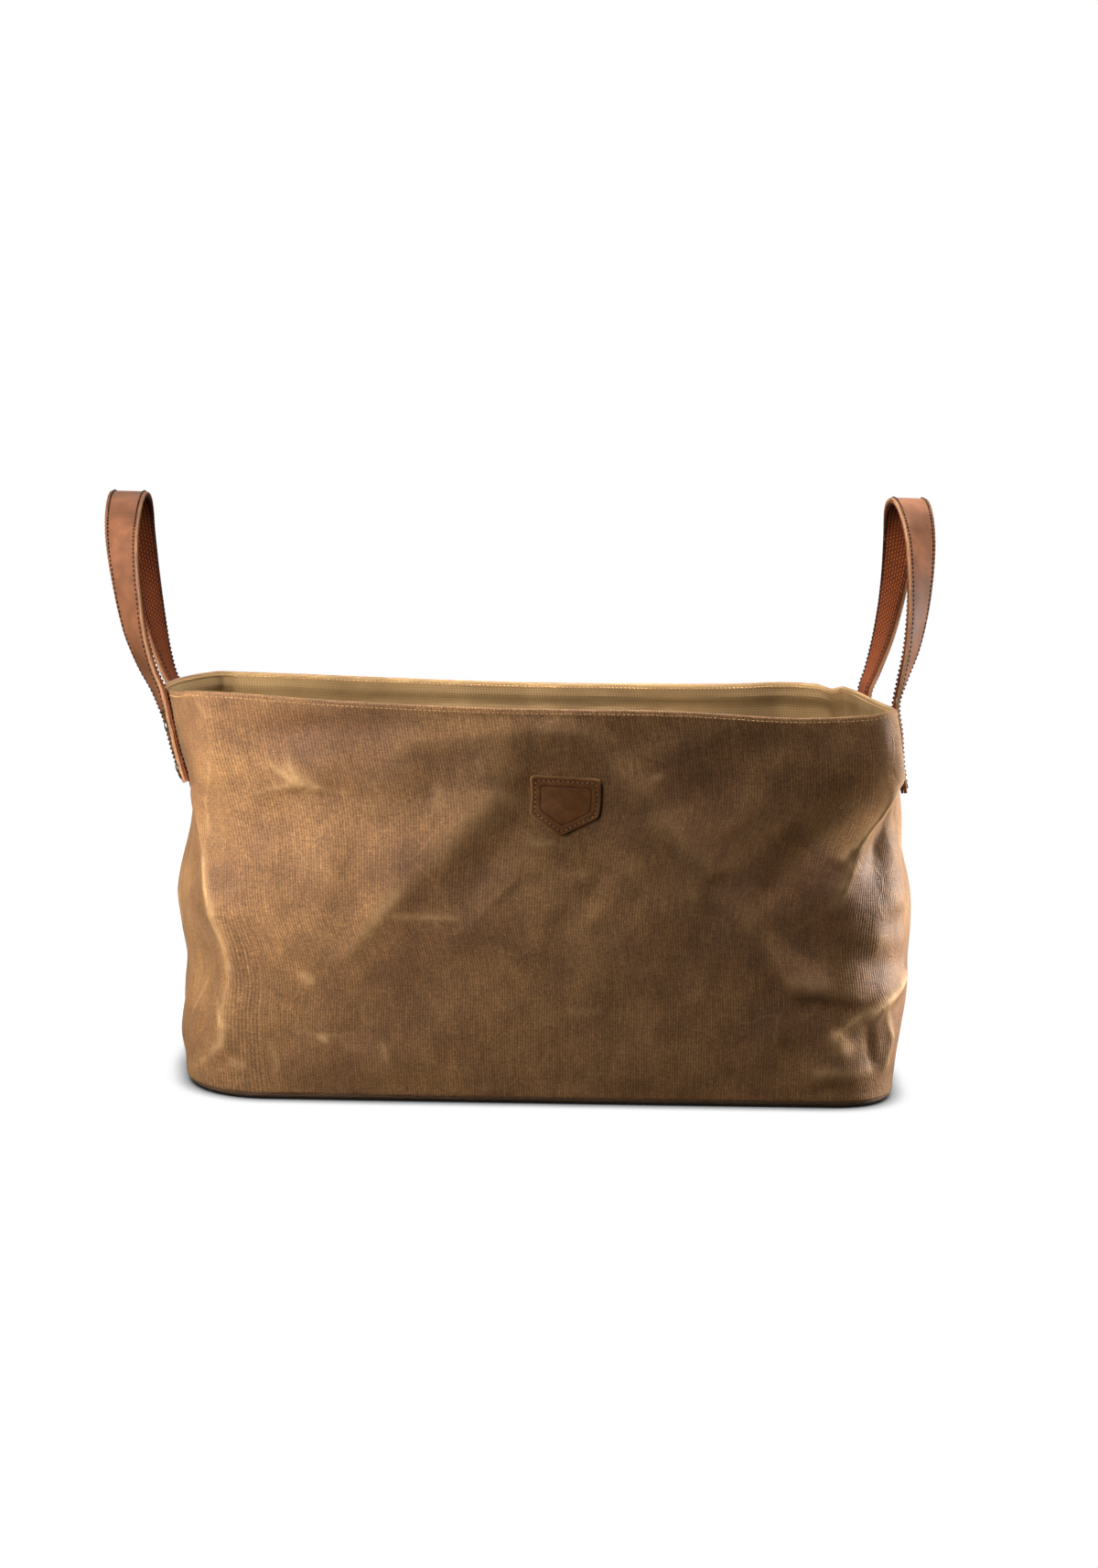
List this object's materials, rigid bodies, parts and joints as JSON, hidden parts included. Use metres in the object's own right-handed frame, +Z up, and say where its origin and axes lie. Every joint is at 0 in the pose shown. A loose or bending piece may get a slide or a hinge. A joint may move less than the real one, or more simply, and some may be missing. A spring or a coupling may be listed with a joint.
{
  "type": "firewood bag",
  "caption": "Open-top waxed canvas log tote on a flat sewn base, with riveted leather and webbing carrying loops at its ends and a leather badge on the front.",
  "frame": {"origin": "on the floor, under the middle of the base panel", "axes": "+X along the long side to the viewer's right, +Y from the badge side to the back, +Z up"},
  "size_m": [0.6351, 0.328, 0.4514],
  "materials": {
    "waxed_canvas": "waxed, creased, dull sheen",
    "base_canvas": "waxed, dull",
    "strap_leather": "oiled, pulled-up, semi-matte",
    "strap_webbing": "coarse woven, matte",
    "badge_leather": "pressed, semi-matte",
    "rivet_metal": "worn nickel"
  },
  "bodies": {
    "root": {"body_wall": "waxed_canvas", "base_panel": "base_canvas", "handle_left_leather": "strap_leather", "handle_left_webbing": "strap_webbing", "handle_right_leather": "strap_leather", "handle_right_webbing": "strap_webbing", "rivet_left_front_upper": "rivet_metal", "rivet_left_front_lower": "rivet_metal", "rivet_left_back_upper": "rivet_metal", "rivet_left_back_lower": "rivet_metal", "rivet_right_front_upper": "rivet_metal", "rivet_right_front_lower": "rivet_metal", "rivet_right_back_upper": "rivet_metal", "rivet_right_back_lower": "rivet_metal", "front_badge": "badge_leather"}
  },
  "joints": []
}
